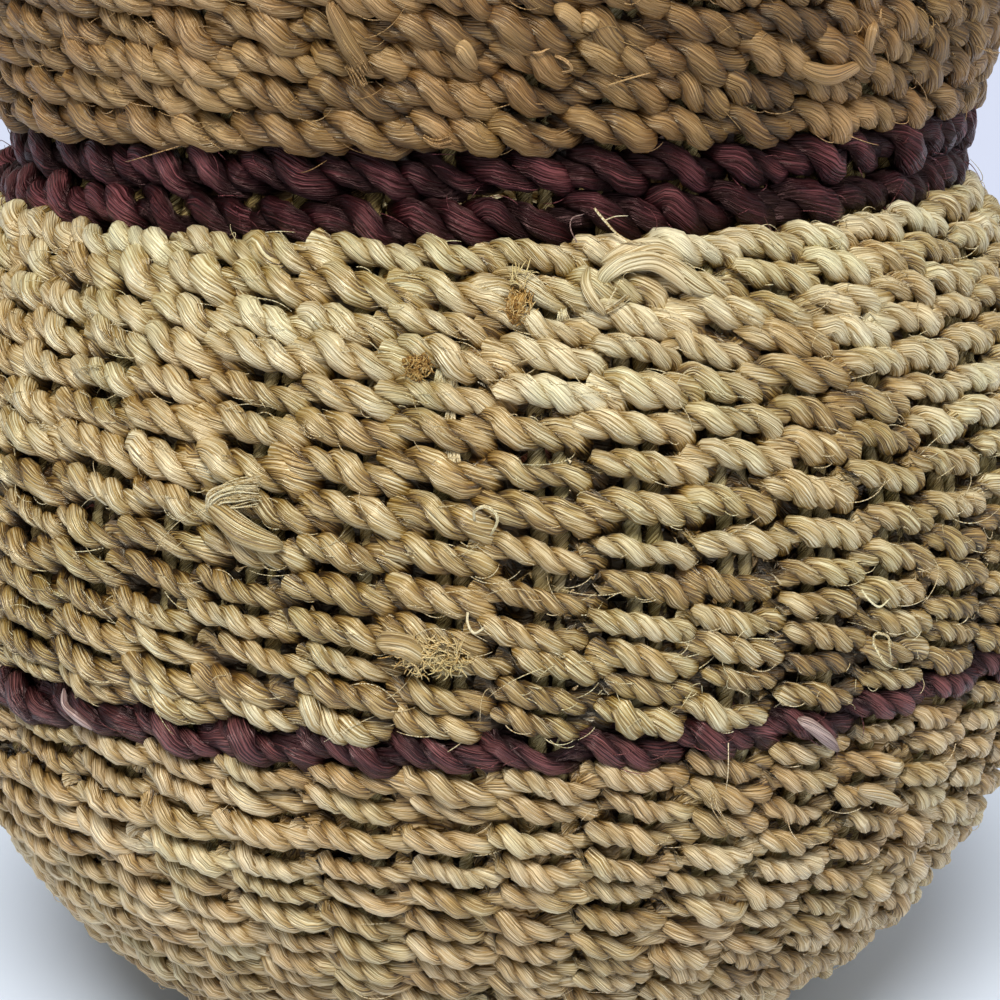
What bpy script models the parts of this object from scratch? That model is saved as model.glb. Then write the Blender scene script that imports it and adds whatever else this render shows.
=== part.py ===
"""Kiondo basket: a round, twined sisal basket with a drawn-in neck and a flared collar.

Metres, +Z up. The origin is the middle of the flat underside, on the surface the basket stands on.
The wall is built the way it is woven. Upright warps run from the start knot under the base to the rim,
and each coloured band of weft lies on both sides of them: a layer of floats outside and one inside.
One line, the middle of the wall, carries everything: every layer, warp and seat is set off from it.
"""
import math

import bpy

MM = 0.001

# Shape of the basket, measured to the outside of the weft
BELLY_RADIUS = 80.0 * MM
FOOT_RADIUS = 32.0 * MM
FOOT_BEND = 18.0 * MM
NECK_RADIUS = 64.0 * MM
NECK_BEND = 14.0 * MM
COLLAR_LENGTH = 36.0 * MM
COLLAR_TILT = math.radians(15.0)

# Build of the wall
WARP_WIDTH = 3.0 * MM
WARP_THICKNESS = 1.5 * MM
OUTER_FLOAT = 2.5 * MM
INNER_FLOAT = 2.2 * MM
ROW_GROOVE = 1.1 * MM
CLEARANCE = 0.3 * MM

# Start of the base and finish of the mouth
KNOT_RADIUS = 7.0 * MM
KNOT_CROWN = 0.9 * MM
SECOND_START_RADIUS = 16.0 * MM
THIRD_START_RADIUS = 29.0 * MM
RIM_HEIGHT = 6.2 * MM
RIM_OVERHANG = 0.6 * MM

# Rows of weft and the stripes
ROW_PITCH = 3.95 * MM
STRIPE_DROP = 10.2 * MM
NECK_STRIPE_ROWS = 2
LOWER_ROWS = 16
BELLY_ROWS = 14
COLLAR_ROWS = 9
WARP_COUNT = 44

# How finely the turned layers are divided
TURN_STEPS = 28
KNOT_STEPS = 22
RIM_SIDES = 8

# Derived sizes of the wall, each a distance from the middle of the wall
WARP_FACE = WARP_THICKNESS / 2
SEAT_FACE = WARP_FACE + CLEARANCE
OUTER_FACE = SEAT_FACE + OUTER_FLOAT
INNER_FACE = SEAT_FACE + INNER_FLOAT
# A turned ring has flat facets, so a ring outside the warps is let out until its facets clear them
FACET_SHARE = 1.0 / math.cos(math.pi / TURN_STEPS)

SISAL_STRAW = (0.60, 0.46, 0.25)
SISAL_NATURAL = (0.52, 0.37, 0.19)
SISAL_TAN = (0.43, 0.28, 0.13)
SISAL_MAROON = (0.075, 0.022, 0.030)
WARP_OLIVE = (0.33, 0.26, 0.11)


class WallLine:
    """The middle of the wall in section, from the axis under the base up to the mouth.

    It is five tangent pieces: the flat base, the foot bend, the belly arc, the neck bend that
    turns the other way, and the straight collar. at(length) walks along it.
    """

    def __init__(self):
        belly = BELLY_RADIUS - OUTER_FACE
        neck = NECK_RADIUS - OUTER_FACE
        self.belly = belly
        self.base_height = OUTER_FACE
        rise = math.sqrt((belly - FOOT_BEND) ** 2 - FOOT_RADIUS ** 2)
        self.foot_height = self.base_height + FOOT_BEND
        self.belly_height = self.foot_height + rise
        self.foot_angle = math.atan2(-rise, FOOT_RADIUS)
        self.neck_centre = neck + NECK_BEND
        climb = math.sqrt((belly + NECK_BEND) ** 2 - self.neck_centre ** 2)
        self.neck_height = self.belly_height + climb
        self.neck_angle = math.atan2(climb, self.neck_centre)
        self.flat_end = FOOT_RADIUS
        self.foot_end = self.flat_end + FOOT_BEND * (math.pi / 2 + self.foot_angle)
        self.belly_end = self.foot_end + belly * (self.neck_angle - self.foot_angle)
        self.neck_end = self.belly_end + NECK_BEND * (self.neck_angle + COLLAR_TILT)
        self.end = self.neck_end + COLLAR_LENGTH

    def at(self, length):
        """Radius, height and outward normal of the wall's middle at a length along it."""
        if length <= self.flat_end:
            return length, self.base_height, 0.0, -1.0
        if length <= self.foot_end:
            angle = (length - self.flat_end) / FOOT_BEND - math.pi / 2
            return (FOOT_RADIUS + FOOT_BEND * math.cos(angle),
                    self.foot_height + FOOT_BEND * math.sin(angle),
                    math.cos(angle), math.sin(angle))
        if length <= self.belly_end:
            angle = self.foot_angle + (length - self.foot_end) / self.belly
            return (self.belly * math.cos(angle), self.belly_height + self.belly * math.sin(angle),
                    math.cos(angle), math.sin(angle))
        angle = self.neck_angle - (min(length, self.neck_end) - self.belly_end) / NECK_BEND
        radius = self.neck_centre - NECK_BEND * math.cos(angle)
        height = self.neck_height - NECK_BEND * math.sin(angle)
        beyond = max(0.0, length - self.neck_end)
        return (radius - beyond * math.sin(angle), height + beyond * math.cos(angle),
                math.cos(angle), math.sin(angle))

    def off(self, length, distance):
        """The point at a distance outside the wall's middle, as radius and height."""
        radius, height, normal_r, normal_z = self.at(length)
        return radius + distance * normal_r, height + distance * normal_z

    def belly_length(self, height):
        """Length along the line at which the belly stands at a height above its widest ring."""
        return self.foot_end + self.belly * (math.asin(height / self.belly) - self.foot_angle)


def steps_between(start, end, count):
    """Evenly spaced lengths from start to end, both included."""
    return [start + (end - start) * i / count for i in range(count + 1)]


def add_material(name, colour, roughness):
    material = bpy.data.materials.new(name)
    material.use_nodes = True
    shader = material.node_tree.nodes["Principled BSDF"]
    shader.inputs["Base Color"].default_value = (*colour, 1.0)
    shader.inputs["Roughness"].default_value = roughness
    shader.inputs["Metallic"].default_value = 0.0
    return material


def add_object(name, mesh, collection, material):
    part = bpy.data.objects.new(name, mesh)
    if not mesh.materials:
        mesh.materials.append(material)
    collection.objects.link(part)
    return part


def add_turned(name, outline, closed, steps, collection, material):
    """Turns an outline of (radius, height) points about Z. It runs down the outer side first."""
    mesh = bpy.data.meshes.new(name)
    count = len(outline)
    edges = [(i, i + 1) for i in range(count - 1)]
    if closed:
        edges.append((count - 1, 0))
    mesh.from_pydata([(radius, 0.0, height) for radius, height in outline], edges, [])
    part = add_object(name, mesh, collection, material)
    screw = part.modifiers.new("turn", "SCREW")
    screw.axis = "Z"
    screw.angle = 2 * math.pi
    screw.steps = steps
    screw.render_steps = steps
    screw.use_merge_vertices = True
    screw.merge_threshold = 0.01 * MM
    screw.use_smooth_shade = True
    return part


def ribbed_face(wall, start, end, rows):
    """The outside of a band: a groove between rows and a rounded crest on each, foot to top."""
    groove = OUTER_FACE - ROW_GROOVE
    pitch = (end - start) / rows
    points = [wall.off(start, groove)]
    for row in range(rows):
        points.append(wall.off(start + pitch * (row + 0.5), OUTER_FACE))
        points.append(wall.off(start + pitch * (row + 1), groove))
    return points


def plain_face(wall, stations, distance):
    return [wall.off(length, distance) for length in stations]


def add_band(wall, name, stations, rows, collection, material):
    """Adds the outer and the inner layer of floats of one band of weft, with the warps' gap between.

    With no rows given the outside stays plain, as under the base, where the floats are worn flat.
    """
    start = stations[0] + CLEARANCE / 2
    end = stations[-1] - CLEARANCE / 2
    stations = [start] + stations[1:-1] + [end]
    if rows:
        crest = ribbed_face(wall, start, end, rows)
    else:
        crest = plain_face(wall, stations, OUTER_FACE)
    seat = [(radius * FACET_SHARE, height) for radius, height in plain_face(wall, stations, SEAT_FACE)]
    add_turned(name + "_outer", crest[::-1] + seat, True, TURN_STEPS, collection, material)
    back = plain_face(wall, stations, -SEAT_FACE)
    inside = plain_face(wall, stations, -INNER_FACE)
    add_turned(name + "_inner", back[::-1] + inside, True, TURN_STEPS, collection, material)


def warp_mesh(wall, name, stations, material):
    """A flat pair of strings: its side view drawn as one face and thickened to the pair's width."""
    outside = plain_face(wall, stations, WARP_FACE)
    inside = plain_face(wall, stations, -WARP_FACE)
    loop = outside + inside[::-1]
    mesh = bpy.data.meshes.new(name)
    mesh.from_pydata([(radius, 0.0, height) for radius, height in loop], [], [list(range(len(loop)))])
    mesh.materials.append(material)
    return mesh


def add_warps(wall, seams, collection, material):
    """The warps: a quarter start at the knot, a quarter at the second ring, the rest at the third."""
    starts = {0: KNOT_RADIUS + CLEARANCE, 1: THIRD_START_RADIUS, 2: SECOND_START_RADIUS,
              3: THIRD_START_RADIUS}
    meshes = {}
    for quarter, first in starts.items():
        stations = [first] + [length for length in seams if length > first + WARP_WIDTH]
        meshes[quarter] = warp_mesh(wall, "warp_start_%d" % (quarter + 1), stations, material)
    for index in range(WARP_COUNT):
        warp = add_object("warp_%02d" % (index + 1), meshes[index % 4], collection, material)
        warp.rotation_euler = (0.0, 0.0, 2 * math.pi * index / WARP_COUNT)
        width = warp.modifiers.new("width", "SOLIDIFY")
        width.thickness = WARP_WIDTH
        width.offset = 0.0


def add_start_knot(collection, material):
    """The wrapped crossing in the middle of the base: flat below, a little crowned inside."""
    top = OUTER_FACE + INNER_FACE
    outline = [(0.0, top + KNOT_CROWN), (KNOT_RADIUS / 2, top + KNOT_CROWN * 3 / 4),
               (KNOT_RADIUS, top), (KNOT_RADIUS, 0.0), (0.0, 0.0)]
    return add_turned("start_knot", outline, False, KNOT_STEPS, collection, material)


def add_rim(wall, collection, material):
    """The bound edge: flat below where it sits on the wall's end, and half an ellipse above."""
    radius, height, normal_r, normal_z = wall.at(wall.end)
    outer = OUTER_FACE + RIM_OVERHANG
    inner = INNER_FACE + RIM_OVERHANG
    middle = (outer - inner) / 2
    half_width = (outer + inner) / 2

    def place(across, up):
        lift = CLEARANCE + up
        return (radius + across * normal_r - lift * normal_z, height + across * normal_z + lift * normal_r)

    outline = []
    for side in range(RIM_SIDES + 1):
        turn = math.pi * (1.0 - side / RIM_SIDES)
        outline.append(place(middle + half_width * math.cos(turn), RIM_HEIGHT * math.sin(turn)))
    return add_turned("rim_binding", outline, True, TURN_STEPS, collection, material)


def build():
    for old in list(bpy.data.objects):
        bpy.data.objects.remove(old)
    collection = bpy.data.collections.new("kiondo_basket")
    bpy.context.scene.collection.children.link(collection)

    straw = add_material("straw_sisal", SISAL_STRAW, 0.62)
    natural = add_material("natural_sisal", SISAL_NATURAL, 0.68)
    tan = add_material("tan_sisal", SISAL_TAN, 0.66)
    maroon = add_material("maroon_sisal", SISAL_MAROON, 0.5)
    olive = add_material("warp_string", WARP_OLIVE, 0.75)

    wall = WallLine()
    stripe_middle = wall.belly_length(-STRIPE_DROP)
    stripe_start = stripe_middle - ROW_PITCH / 2
    stripe_end = stripe_middle + ROW_PITCH / 2

    base_stations = [KNOT_RADIUS + CLEARANCE / 2] + steps_between(wall.flat_end, wall.foot_end, 2)
    bands = [
        ("base_weft", base_stations, 0, natural),
        ("lower_weft", steps_between(wall.foot_end, stripe_start, 4), LOWER_ROWS, natural),
        ("lower_stripe", steps_between(stripe_start, stripe_end, 1), 1, maroon),
        ("belly_weft", steps_between(stripe_end, wall.belly_end, 4), BELLY_ROWS, straw),
        ("neck_stripe", steps_between(wall.belly_end, wall.neck_end, 3), NECK_STRIPE_ROWS, maroon),
        ("collar_weft", steps_between(wall.neck_end, wall.end, 2), COLLAR_ROWS, tan),
    ]
    seams = []
    for name, stations, rows, material in bands:
        add_band(wall, name, stations, rows, collection, material)
        seams += stations[1:]
    add_warps(wall, seams, collection, olive)
    add_start_knot(collection, natural)
    add_rim(wall, collection, tan)


build()
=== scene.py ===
# %% [markdown]
# # A twined sisal basket, strand by strand
# A kiondo is woven from sisal cord. Pairs of strings, the warps, run up from the base to the rim, and two
# thick cords, the weft, travel round them in one long spiral. At each warp one cord passes in front and the
# other behind, and between warps they swap. A picture of cloth on a smooth pot would look printed, so this
# script makes every cord as geometry and leaves only the fibres to the materials.
#
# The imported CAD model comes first, because every cord below lies where its layers are.

# %% Load the frame
import math
from collections import namedtuple

import bpy
import numpy as np
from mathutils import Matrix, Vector


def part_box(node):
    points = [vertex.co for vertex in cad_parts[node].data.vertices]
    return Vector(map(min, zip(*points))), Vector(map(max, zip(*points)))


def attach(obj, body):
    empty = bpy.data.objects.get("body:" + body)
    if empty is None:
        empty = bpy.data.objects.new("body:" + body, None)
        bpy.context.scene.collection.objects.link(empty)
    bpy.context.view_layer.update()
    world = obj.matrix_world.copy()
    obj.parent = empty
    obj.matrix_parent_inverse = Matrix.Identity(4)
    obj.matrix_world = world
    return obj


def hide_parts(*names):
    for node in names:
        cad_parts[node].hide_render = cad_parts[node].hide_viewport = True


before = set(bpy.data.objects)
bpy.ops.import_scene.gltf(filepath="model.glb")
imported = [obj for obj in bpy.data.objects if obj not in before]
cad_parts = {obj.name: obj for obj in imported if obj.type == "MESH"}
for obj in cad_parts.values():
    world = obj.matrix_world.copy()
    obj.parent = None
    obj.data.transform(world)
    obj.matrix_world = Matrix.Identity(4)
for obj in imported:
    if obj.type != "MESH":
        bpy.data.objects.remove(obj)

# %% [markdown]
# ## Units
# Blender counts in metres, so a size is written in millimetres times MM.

MM = 0.001
TURN = 2 * math.pi
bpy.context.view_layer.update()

# %% [markdown]
# ## The middle of the wall
# Everything woven hangs on one line: the middle of the wall, seen in section. It could be read from the CAD
# mesh, but five tangent pieces say it better: the flat base, the foot bend, the belly arc, the neck bend
# that turns the other way, and the straight collar. A length along that line and an angle round the axis
# then name any place on the basket.

# %% The wall's line
BELLY_RADIUS = 80.0 * MM
FOOT_RADIUS = 32.0 * MM
FOOT_BEND = 18.0 * MM
NECK_RADIUS = 64.0 * MM
NECK_BEND = 14.0 * MM
COLLAR_LENGTH = 36.0 * MM
COLLAR_TILT = math.radians(15.0)
OUTER_FACE = 3.55 * MM
KNOT_RADIUS = 7.0 * MM


class Wall:
    """The wall's middle as five tangent pieces, walked by length from the axis under the base."""

    def __init__(self):
        self.belly = BELLY_RADIUS - OUTER_FACE
        neck = NECK_RADIUS - OUTER_FACE
        rise = math.sqrt((self.belly - FOOT_BEND) ** 2 - FOOT_RADIUS ** 2)
        self.foot_height = OUTER_FACE + FOOT_BEND
        self.belly_height = self.foot_height + rise
        self.foot_angle = math.atan2(-rise, FOOT_RADIUS)
        self.neck_centre = neck + NECK_BEND
        climb = math.sqrt((self.belly + NECK_BEND) ** 2 - self.neck_centre ** 2)
        self.neck_height = self.belly_height + climb
        self.neck_angle = math.atan2(climb, self.neck_centre)
        self.foot_end = FOOT_RADIUS + FOOT_BEND * (math.pi / 2 + self.foot_angle)
        self.belly_end = self.foot_end + self.belly * (self.neck_angle - self.foot_angle)
        self.neck_end = self.belly_end + NECK_BEND * (self.neck_angle + COLLAR_TILT)
        self.end = self.neck_end + COLLAR_LENGTH

    def section(self, length):
        """Radius, height and the outward normal's angle above the horizon, for lengths in an array."""
        length = np.asarray(length, float)
        foot = (length - FOOT_RADIUS) / FOOT_BEND - math.pi / 2
        belly = self.foot_angle + (length - self.foot_end) / self.belly
        neck = self.neck_angle - (np.minimum(length, self.neck_end) - self.belly_end) / NECK_BEND
        beyond = np.maximum(0.0, length - self.neck_end)
        pieces = [length <= FOOT_RADIUS, length <= self.foot_end, length <= self.belly_end]
        angle = np.select(pieces, [-math.pi / 2, foot, belly], neck)
        radius = np.select(
            pieces,
            [length, FOOT_RADIUS + FOOT_BEND * np.cos(foot), self.belly * np.cos(belly)],
            self.neck_centre - NECK_BEND * np.cos(neck) - beyond * np.sin(neck))
        height = np.select(
            pieces,
            [OUTER_FACE, self.foot_height + FOOT_BEND * np.sin(foot),
             self.belly_height + self.belly * np.sin(belly)],
            self.neck_height - NECK_BEND * np.sin(neck) + beyond * np.cos(neck))
        return radius, height, angle

    def frame(self, length, around):
        """Place on the wall's middle, outward normal and the way up the wall, each as rows of x, y, z."""
        radius, height, angle = self.section(length)
        cos, sin = np.cos(around), np.sin(around)
        place = np.stack([radius * cos, radius * sin, height], -1)
        out = np.stack([np.cos(angle) * cos, np.cos(angle) * sin, np.sin(angle)], -1)
        up = np.stack([-np.sin(angle) * cos, -np.sin(angle) * sin, np.cos(angle)], -1)
        return place, out, up

    def at_angle(self, degrees):
        """Length along the line at which the belly arc points that many degrees above the horizon."""
        return self.foot_end + self.belly * (np.radians(degrees) - self.foot_angle)


wall = Wall()
belly_low, belly_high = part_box("belly_weft_outer")
print("belly radius here and in the CAD, mm:", BELLY_RADIUS / MM, round(belly_high[0] / MM, 2))
print("wall length, mm:", round(wall.end / MM, 1), "belly centre at", round(wall.belly_height / MM, 2))

# %% [markdown]
# ## Meshes from grids
# A cord is a tube: a grid of rings by sides. One helper takes many such grids, closes each end with a face
# and loads them all into one mesh as whole arrays. Each grid carries its own UV, the distance along the
# cord and round it in millimetres, so that a material can draw fibres that follow the twist. It also carries
# a tone, which makes a cord lighter or darker from place to place.

# %% From grids to a mesh object
def tube_mesh(name, grids, material):
    """Joins tubes into one object. A grid is (rings x sides x 3 points, along, round, tone), with one
    tone for each ring or for each point."""
    points, loops, starts, totals, uvs, tones = [], [], [], [], [], []
    base = 0
    corner = 0
    for rings, along, round_way, tone in grids:
        count, sides = rings.shape[:2]
        ids = base + np.arange(count * sides).reshape(count, sides)
        here, there = ids[:-1], ids[1:]
        quads = np.stack([here, np.roll(here, -1, 1), np.roll(there, -1, 1), there], -1)
        a0 = np.broadcast_to(along[:-1, None], quads.shape[:2])
        a1 = np.broadcast_to(along[1:, None], quads.shape[:2])
        r0 = np.broadcast_to(round_way[None, :-1], quads.shape[:2])
        r1 = np.broadcast_to(round_way[None, 1:], quads.shape[:2])
        uv = np.stack([np.stack([a0, r0], -1), np.stack([a0, r1], -1),
                       np.stack([a1, r1], -1), np.stack([a1, r0], -1)], 2)
        caps = np.concatenate([ids[0][::-1], ids[-1]])
        points.append(rings.reshape(-1, 3))
        tones.append(np.broadcast_to(tone.reshape(count, -1), (count, sides)).reshape(-1))
        loops.append(np.concatenate([quads.reshape(-1), caps]))
        uvs.append(np.concatenate([uv.reshape(-1, 2), np.zeros((2 * sides, 2))]))
        faces = (count - 1) * sides
        starts.append(corner + np.concatenate([np.arange(faces) * 4, faces * 4 + np.array([0, sides])]))
        totals.append(np.concatenate([np.full(faces, 4), [sides, sides]]))
        base += count * sides
        corner += faces * 4 + 2 * sides
    points, loops, starts, totals, uvs, tones = (
        np.concatenate(rows) for rows in (points, loops, starts, totals, uvs, tones))
    mesh = bpy.data.meshes.new(name)
    mesh.vertices.add(len(points))
    mesh.vertices.foreach_set("co", points.astype(np.float32).reshape(-1))
    mesh.loops.add(len(loops))
    mesh.loops.foreach_set("vertex_index", loops.astype(np.int32))
    mesh.polygons.add(len(starts))
    mesh.polygons.foreach_set("loop_start", starts.astype(np.int32))
    mesh.polygons.foreach_set("loop_total", totals.astype(np.int32))
    mesh.update(calc_edges=True)
    layer = mesh.uv_layers.new(name="fibre")
    layer.uv.foreach_set("vector", uvs.astype(np.float32).reshape(-1))
    shade = mesh.attributes.new("tone", "FLOAT", "POINT")
    shade.data.foreach_set("value", tones.astype(np.float32))
    mesh.validate()
    mesh.shade_smooth()
    mesh.materials.append(material)
    piece = bpy.data.objects.new(name, mesh)
    bpy.context.scene.collection.objects.link(piece)
    return piece


# %% Pieces and small sums on lines
tally = {"tubes": 0, "triangles": 0}


def add_piece(name, grids, material, nodes):
    """A finished piece: its mesh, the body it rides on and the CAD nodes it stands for."""
    piece = tube_mesh(name, grids, material)
    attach(piece, "root")
    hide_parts(*nodes)
    triangles = sum(2 * (rings.shape[1] * rings.shape[0] - 2) for rings, along, round_way, tone in grids)
    tally["tubes"] += len(grids)
    tally["triangles"] += triangles
    print(name, "tubes", len(grids), "triangles", triangles)


def unit(rows):
    """Each row of an array scaled to length one."""
    return rows / np.maximum(np.linalg.norm(rows, axis=-1, keepdims=True), 1e-12)


def walked(line):
    """Distance walked along a line of points up to each of them."""
    return np.concatenate([[0.0], np.cumsum(np.linalg.norm(np.diff(line, axis=0), axis=-1))])


def sides_of(ahead, out):
    """Two directions square to a line: the one nearest to out, and the one above it."""
    across = unit(out - (out * ahead).sum(-1, keepdims=True) * ahead)
    return across, np.cross(across, ahead)


# %% [markdown]
# ## Shader maths as Python
# Materials here need a few sums on numbers that vary over the surface. Wiring Math nodes by hand hides the
# formula, so a small class stands for a socket and turns each arithmetic sign into a node. Every other
# node comes from one method that sets its choices first and its sockets after.

# %% Sockets that can be added and multiplied
class Value:
    """A number that varies over a surface. Arithmetic on it adds Math nodes to its sheet."""

    def __init__(self, sheet, socket):
        self.sheet = sheet
        self.socket = socket

    def sum_with(self, operation, other, swapped=False):
        first, second = (other, self) if swapped else (self, other)
        return self.sheet.node("ShaderNodeMath", {"operation": operation}, {0: first, 1: second})

    def __add__(self, other):
        return self.sum_with("ADD", other)

    def __radd__(self, other):
        return self.sum_with("ADD", other, True)

    def __sub__(self, other):
        return self.sum_with("SUBTRACT", other)

    def __rsub__(self, other):
        return self.sum_with("SUBTRACT", other, True)

    def __mul__(self, other):
        return self.sum_with("MULTIPLY", other)

    def __rmul__(self, other):
        return self.sum_with("MULTIPLY", other, True)

    def size(self):
        """The value without its sign."""
        return self.sheet.node("ShaderNodeMath", {"operation": "ABSOLUTE"}, {0: self})

    def limited(self):
        """The value kept between 0 and 1."""
        return self.sheet.node("ShaderNodeClamp", {}, {"Value": self})


class Sheet:
    """One material's node tree, with one method that adds any node."""

    def __init__(self, name):
        self.material = bpy.data.materials.new(name)
        self.material.use_nodes = True
        self.tree = self.material.node_tree
        self.shader = self.tree.nodes["Principled BSDF"]

    def node(self, kind, settings, inputs, output=0):
        """Adds a node, sets its choices, then its sockets, and returns one of its outputs."""
        made = self.tree.nodes.new(kind)
        for key, choice in settings.items():
            if key == "stops":
                self.fill_ramp(made.color_ramp, choice)
            else:
                setattr(made, key, choice)
        for key, value in inputs.items():
            self.feed(made.inputs[key], value)
        return Value(self, made.outputs[output])

    def feed(self, socket, value):
        """Links a Value to a socket, or writes a constant into it."""
        if isinstance(value, Value):
            self.tree.links.new(value.socket, socket)
        else:
            socket.default_value = value

    def fill_ramp(self, ramp, stops):
        """Sets a colour ramp's stops from a list of (place, colour)."""
        while len(ramp.elements) > 1:
            ramp.elements.remove(ramp.elements[-1])
        ramp.elements[0].position = stops[0][0]
        ramp.elements[0].color = (*stops[0][1], 1.0)
        for place, colour in stops[1:]:
            ramp.elements.new(place).color = (*colour, 1.0)

    def noise(self, place, scale, detail):
        """Cloudy noise from 0 to 1."""
        return self.node("ShaderNodeTexNoise", {}, {"Vector": place, "Scale": scale, "Detail": detail})


def linear(red, green, blue):
    """A colour read from a screen, 0 to 255, as the linear values that shaders take."""
    share = np.array([red, green, blue]) / 255.0
    return tuple(np.where(share <= 0.04045, share / 12.92, ((share + 0.055) / 1.055) ** 2.4))


# %% [markdown]
# ## Sisal
# A sisal yarn is a bundle of stiff, slightly glossy leaf fibres, each about a fifth of a millimetre thick.
# Seen close they are fine streaks that run a little across the ply, light and dark ones side by side, with
# a bright line of sheen where the bundle turns to the light. One function makes every yarn of this basket.
# It stretches noise along the fibre direction, once fine and once broad, and uses it for colour, for bump
# and for a little change of roughness.

# %% The yarn material
FIBRE_LEAN = -0.85
FINE_PER_MM = (0.2, 5.4)
BUNDLE_PER_MM = (0.14, 2.0)
PATCHES_PER_M = 60.0
HUES_PER_M = 110.0
RIDGE_SHARPNESS = 15.0
CREASE_FADE = 0.28
FINE_WEIGHT = 1.85
PATCH_WEIGHT = 0.4
TONE_WEIGHT = 0.8
COLOUR_MIDDLE = 0.56
ROUGHNESS_SWING = 0.3
FINE_HEIGHT = 0.9
RIDGE_HEIGHT = 0.28
BUNDLE_HEIGHT = 0.8
BUMP_DEPTH = 0.45 * MM
SHADE_PLACES = (0.0, 0.25, 0.5, 1.0)
TINTS = [(0.34, (0.97, 1.0, 0.92)), (0.5, (1.0, 1.0, 1.0)), (0.66, (1.0, 0.93, 0.85))]


def sisal(name, shades, roughness, index, sheen, groove=0.36):
    """Sisal yarn. shades are four colours of its fibres, dark to light, index is the refractive index that
    sets how much sheen it has, and sheen is the colour of that, because light runs through the fibres too.
    groove is how much painted shade darkens the creases between bundles.

    across = distance round the ply + FIBRE_LEAN x distance along it, so the streaks lean across the ply.
    colour = fine streaks + broad patches + tone - painted crease shade, looked up among the four colours.
    height = fine streaks + ridges + bundles. Where the bundle noise is near its middle lies a crease.
    """
    sheet = Sheet(name)
    uv = sheet.node("ShaderNodeUVMap", {"uv_map": "fibre"}, {})
    along = sheet.node("ShaderNodeSeparateXYZ", {}, {"Vector": uv}, 0)
    round_way = sheet.node("ShaderNodeSeparateXYZ", {}, {"Vector": uv}, 1)
    across = round_way + along * FIBRE_LEAN
    fine, bundle = (
        sheet.noise(sheet.node("ShaderNodeCombineXYZ", {}, {"X": along * lengthwise, "Y": across * sideways}),
                    1.0, detail)
        for (lengthwise, sideways), detail in ((FINE_PER_MM, 3.0), (BUNDLE_PER_MM, 1.5)))
    ridge = ((bundle - 0.5).size() * RIDGE_SHARPNESS).limited()
    place = sheet.node("ShaderNodeTexCoord", {}, {}, 3)
    patch = sheet.noise(place, PATCHES_PER_M, 2.0)
    tone = sheet.node("ShaderNodeAttribute", {"attribute_name": "tone"}, {}, 2)
    # painted shade: the creases between fibre bundles are painted darker, less so on paler tones
    crease_shade = (1.0 - ridge) * (groove - tone * CREASE_FADE)
    mixed = ((fine - 0.5) * FINE_WEIGHT - crease_shade + (patch - 0.5) * PATCH_WEIGHT
             + (tone - 0.5) * TONE_WEIGHT + COLOUR_MIDDLE)
    stops = [(stop, linear(*shade)) for stop, shade in zip(SHADE_PLACES, shades)]
    colour = sheet.node("ShaderNodeValToRGB", {"stops": stops}, {"Fac": mixed.limited()})
    tint = sheet.node("ShaderNodeValToRGB", {"stops": TINTS}, {"Fac": sheet.noise(place, HUES_PER_M, 1.0)})
    tinted = sheet.node("ShaderNodeMix", {"data_type": "RGBA", "blend_type": "MULTIPLY"},
                        {0: 1.0, 6: colour, 7: tint}, 2)
    height = fine * FINE_HEIGHT + ridge * RIDGE_HEIGHT + bundle * BUNDLE_HEIGHT
    bump = sheet.node("ShaderNodeBump", {}, {"Height": height, "Strength": 1.0, "Distance": BUMP_DEPTH})
    for socket, value in (("Base Color", tinted), ("Roughness", roughness + (fine - 0.5) * ROUGHNESS_SWING),
                          ("Normal", bump), ("IOR", index), ("Specular IOR Level", 1.0),
                          ("Specular Tint", (*sheen, 1.0))):
        sheet.feed(sheet.shader.inputs[socket], value)
    return sheet.material


# %% [markdown]
# ## Six yarns
# The belly is pale straw, the base and the lower rows are a warmer natural yarn, and the collar is tan. The
# two dark stripes are one dyed maroon yarn. The lower stripe faces the lamp, so it has a copy of that yarn
# of its own, a glossier plum painted lighter as painted light. The warps are matt string.

# %% The yarns
straw = sisal("straw_sisal", ((44, 20, 0), (104, 70, 10), (173, 139, 68), (255, 245, 206)),
              0.34, 1.76, (1.0, 0.92, 0.7))
natural = sisal("natural_sisal", ((62, 32, 2), (126, 92, 34), (183, 146, 82), (254, 236, 196)),
                0.38, 1.7, (1.0, 0.92, 0.74))
tan = sisal("tan_sisal", ((52, 24, 2), (88, 54, 12), (132, 94, 40), (206, 166, 112)),
            0.4, 1.62, (1.0, 0.88, 0.64), 0.24)
maroon = sisal("maroon_sisal", ((7, 0, 0), (21, 1, 4), (38, 4, 9), (138, 80, 84)),
               0.34, 1.33, (1.0, 0.56, 0.54), 0.34)
# painted light: the lower stripe's copy of the maroon yarn is painted lighter where it faces the lamp
painted_lit_maroon = sisal("painted_lit_maroon_sisal", ((9, 0, 1), (24, 2, 6), (41, 7, 12), (150, 94, 94)),
             0.3, 1.4, (1.0, 0.66, 0.64), 0.34)
string_yarn = sisal("warp_string", ((84, 62, 24), (152, 128, 70), (204, 184, 126), (244, 232, 192)),
                    0.6, 1.4, (1.0, 0.9, 0.7))
print("yarns:", [material.name for material in (straw, natural, tan, maroon, painted_lit_maroon, string_yarn)])

# %% [markdown]
# ## Camera
# The photograph looks a little down on the belly from close by, so near rows bulge and the base sinks
# away. The camera's distance, height angle and lens come from fitting circles to the rows.

# %% Camera
PHOTO_WIDTH = 1000
CAMERA_DISTANCE = 4.5 * BELLY_RADIUS
CAMERA_ELEVATION = math.radians(13.7)
CAMERA_AZIMUTH = math.radians(3.0)
FOCAL_PIXELS = 2561
BELLY_PIXEL = (488, 496)
SENSOR_WIDTH = 36.0

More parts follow.
